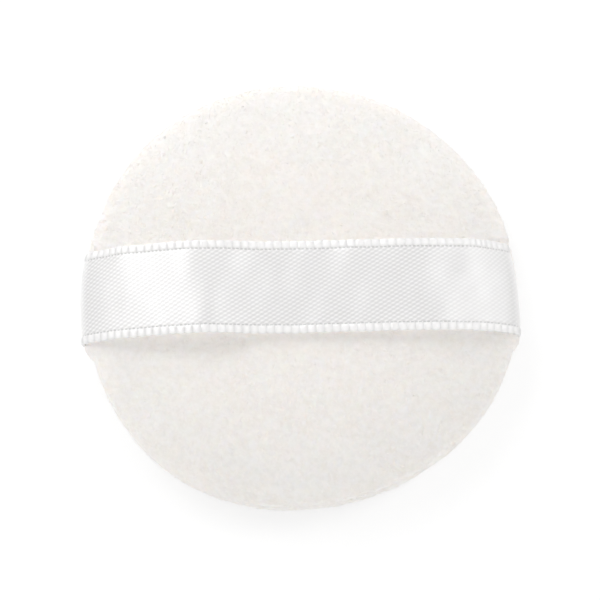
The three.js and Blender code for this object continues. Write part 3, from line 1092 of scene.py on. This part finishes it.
class PUFF_OT_foam(bpy.types.Operator):
    """Cut the foam stuffing to the inside of the covers"""

    bl_idname = "puff.foam"
    bl_label = "Foam core"

    def execute(self, context):
        deselect()
        radius = FOAM_HIGH.x
        depth = FOAM_HIGH.z - FOAM_LOW.z
        middle = (FOAM_LOW.z + FOAM_HIGH.z) / 2
        bpy.ops.mesh.primitive_cylinder_add(
            vertices=96, radius=radius, depth=depth, location=(0, 0, middle)
        )
        piece = context.object
        piece.name = "foam_stuffing"
        bpy.ops.object.transform_apply(location=True, rotation=True, scale=True)
        mode("EDIT")
        bpy.ops.mesh.select_mode(type="FACE")
        bpy.ops.mesh.select_all(action="DESELECT")
        mode("OBJECT")
        for face in piece.data.polygons:
            face.select = abs(face.normal.z) > 0.9
        mode("EDIT")
        for _ in range(9):
            bpy.ops.mesh.inset(thickness=radius / 10)
        bpy.ops.mesh.select_all(action="SELECT")
        bpy.ops.mesh.subdivide(number_cuts=1)
        mode("OBJECT")
        covers = context.scene.puff_covers
        points = points_of(piece)
        share = np.hypot(points[:, 0], points[:, 1]) / radius
        bow = np.clip(1 - share**covers.fullness, 0.02, 1) ** (1 / covers.roundness)
        points[:, 2] = SEAM + (points[:, 2] - SEAM) * bow
        put_points(piece, points)
        push_out(piece, "pores", 0.0012, "VORONOI_F1", 0.0001, 1.0)
        bpy.ops.object.shade_smooth()
        piece.data.materials.append(foam_material(context.scene.puff_colours))
        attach(piece, "pad")
        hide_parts("foam_core")
        return {"FINISHED"}


class PUFF_OT_ribbon(bpy.types.Operator):
    """Weave the satin ribbon and lay it over the back cover"""

    bl_idname = "puff.ribbon"
    bl_label = "Ribbon handle"

    def execute(self, context):
        scene = context.scene
        deselect()
        satin = satin_material(scene.puff_colours, scene.puff_ribbon)
        ribbon, cut = weave_ribbon("satin_ribbon", scene.puff_ribbon, scene.puff_covers, satin)
        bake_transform(ribbon)
        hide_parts("ribbon_handle")
        return {"FINISHED"}


class PUFF_OT_sewing(bpy.types.Operator):
    """Finish the seam's threads and the ribbon's bar tacks"""

    bl_idname = "puff.sewing"
    bl_label = "Threads"

    def execute(self, context):
        thread = thread_material(context.scene.puff_colours)
        for name in SEWN:
            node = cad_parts[name]
            node.data.materials.clear()
            node.data.materials.append(thread)
        return {"FINISHED"}


class PUFF_OT_stage(bpy.types.Operator):
    """Set the floor, the soft light and the camera"""

    bl_idname = "puff.stage"
    bl_label = "Stage"

    def execute(self, context):
        scene = context.scene
        stage = scene.puff_stage
        deselect()
        bpy.ops.mesh.primitive_plane_add(size=20, location=(0, 0, CAD_BOX[0].z))
        floor = context.object
        floor.name = "floor"
        bpy.ops.object.transform_apply(location=True, rotation=True, scale=True)
        floor.data.materials.append(floor_material(scene.puff_colours, stage))
        back, rear, *sides = [
            soft_light(name + "_light", *spot, getattr(stage, name)) for name, spot in LIGHTS.items()
        ]
        satin = [bpy.data.objects["satin_ribbon"]]
        fibres = [bpy.data.objects[name + "_fibres"] for name in ("back_plush", "face_plush")]
        pass_light("thin_fibres", [back], fibres)
        pass_light("thin_fibres_and_satin", [rear], fibres + satin)
        pass_light("thin_satin", sides, satin)
        light_world(scene, stage)
        place_camera(scene, stage, scene.puff_covers)
        scene.view_settings.view_transform = "Standard"
        return {"FINISHED"}


def floor_material(colours, stage):
    """A pale floor that reads white to the camera where no shadow falls"""
    material, tree, shader = new_material("pale_floor")
    place = own_place(tree)
    nearly = tuple(part * 0.99 for part in colours.floor)
    pale = tint(tree, noise(tree, place, 0.01), nearly, colours.floor)
    seen = seen_rays(tree)
    unlit = 1 - stage.floor_glow
    sockets = {0: seen, 6: pale, 7: (unlit, unlit, unlit, 1)}
    shown = add(tree, "ShaderNodeMix", sockets, data_type="RGBA").outputs[2]
    far = add(tree, "ShaderNodeVectorMath", {0: place}, operation="LENGTH").outputs["Value"]
    sockets = {"Value": far, "From Min": 0.06, "From Max": 0.6, "To Min": 0.06, "To Max": 0.3}
    even = add(tree, "ShaderNodeMapRange", sockets, interpolation_type="SMOOTHSTEP").outputs["Result"]
    glow = maths(tree, "MULTIPLY", seen, maths(tree, "ADD", even, stage.floor_glow))
    feed(tree, shader, {
        "Base Color": shown,
        "Roughness": 1.0,
        "Specular IOR Level": 0.0,
        "Emission Color": (1, 1, 1, 1),
        "Emission Strength": glow,
    })
    return material


def seen_rays(tree):
    """1 for rays that show the background, and 0 for those that light the puff"""
    path = add(tree, "ShaderNodeLightPath").outputs
    shiny = maths(tree, "MAXIMUM", path["Is Glossy Ray"], path["Is Transmission Ray"])
    return maths(tree, "MAXIMUM", path["Is Camera Ray"], shiny)


def soft_light(name, place, width, height, power):
    """A soft light of that width and height aimed at the puff"""
    lamp = bpy.data.lights.new(name, "AREA")
    lamp.shape = "RECTANGLE"
    lamp.size = width
    lamp.size_y = height
    lamp.energy = power
    light = bpy.data.objects.new(name, lamp)
    bpy.context.scene.collection.objects.link(light)
    light.location = place
    light.rotation_euler = (Vector((0, 0, SEAM)) - light.location).to_track_quat("-Z", "Y").to_euler()
    return light


def pass_light(name, lamps, pieces):
    """Lets lamps shine through thin pieces, so that these shade the pile only a little"""
    thin = bpy.data.collections.new(name)
    for piece in pieces:
        thin.objects.link(piece)
    for member in thin.collection_objects:
        member.light_linking.link_state = "EXCLUDE"
    for lamp in lamps:
        lamp.light_linking.blocker_collection = thin


def light_world(scene, stage):
    """Even light all round, stronger at the horizon, and white behind the puff"""
    world = bpy.data.worlds.new("studio")
    scene.world = world
    world.use_nodes = True
    tree = world.node_tree
    background = tree.nodes["Background"]
    background.inputs["Color"].default_value = (1, 1, 1, 1)
    aim = add(tree, "ShaderNodeTexCoord").outputs["Generated"]
    height = add(tree, "ShaderNodeSeparateXYZ", {0: aim}).outputs["Z"]
    sockets = {"Value": height, "To Min": stage.horizon, "To Max": stage.sky}
    lit = add(tree, "ShaderNodeMapRange", sockets).outputs["Result"]
    level = maths(tree, "MAXIMUM", lit, seen_rays(tree))
    tree.links.new(level, background.inputs["Strength"])


def place_camera(scene, stage, covers):
    """A long lens at the viewing angle, framed on the pad"""
    data = bpy.data.cameras.new("camera")
    data.lens = stage.lens
    camera = bpy.data.objects.new("camera", data)
    scene.collection.objects.link(camera)
    pixel = covers.radius / stage.pixels_per_radius
    distance = FRAME_PIXELS * pixel * stage.lens / data.sensor_width
    back = Vector((0, -math.cos(stage.elevation), math.sin(stage.elevation)))
    turned = (-back).to_track_quat("-Z", "Y") @ Quaternion((0, 0, 1), -stage.roll)
    shift = turned @ Vector((-stage.right_pixels * pixel, -stage.up_pixels * pixel, 0))
    camera.rotation_mode = "QUATERNION"
    camera.rotation_quaternion = turned
    camera.location = Vector((0, 0, SEAM)) + shift + back * distance
    data.clip_start = distance * 0.1
    data.clip_end = 20
    scene.camera = camera


class PUFF_PT_panel(bpy.types.Panel):
    """The puff's sizes, colours and steps"""

    bl_label = "Powder Puff"
    bl_idname = "PUFF_PT_panel"
    bl_space_type = "VIEW_3D"
    bl_region_type = "UI"
    bl_category = "Puff"

    def draw(self, context):
        scene = context.scene
        for group in GROUPS:
            box = self.layout.box()
            for prop in getattr(scene, group).bl_rna.properties:
                if prop.identifier not in ("rna_type", "name"):
                    box.prop(getattr(scene, group), prop.identifier)
        for step in STEPS:
            self.layout.operator(step.bl_idname)


GROUPS = {
    "puff_covers": PuffCoverSizes,
    "puff_pile": PuffPileSizes,
    "puff_ribbon": PuffRibbonSizes,
    "puff_colours": PuffColours,
    "puff_stage": PuffStageSizes,
}
STEPS = (PUFF_OT_covers, PUFF_OT_foam, PUFF_OT_ribbon, PUFF_OT_sewing, PUFF_OT_stage)


def register():
    """Adds the property groups, operators and panel"""
    for name, group in GROUPS.items():
        bpy.utils.register_class(group)
        setattr(bpy.types.Scene, name, bpy.props.PointerProperty(type=group))
    for step in STEPS + (PUFF_PT_panel,):
        bpy.utils.register_class(step)


def unregister():
    """Takes them away again"""
    for step in reversed(STEPS + (PUFF_PT_panel,)):
        bpy.utils.unregister_class(step)
    for name, group in reversed(GROUPS.items()):
        delattr(bpy.types.Scene, name)
        bpy.utils.unregister_class(group)


def main():
    """Makes the puff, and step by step"""
    register()
    bpy.ops.puff.covers()
    bpy.ops.puff.foam()
    bpy.ops.puff.ribbon()
    bpy.ops.puff.sewing()
    bpy.ops.puff.stage()
    deselect()


if __name__ == "__main__":
    main()
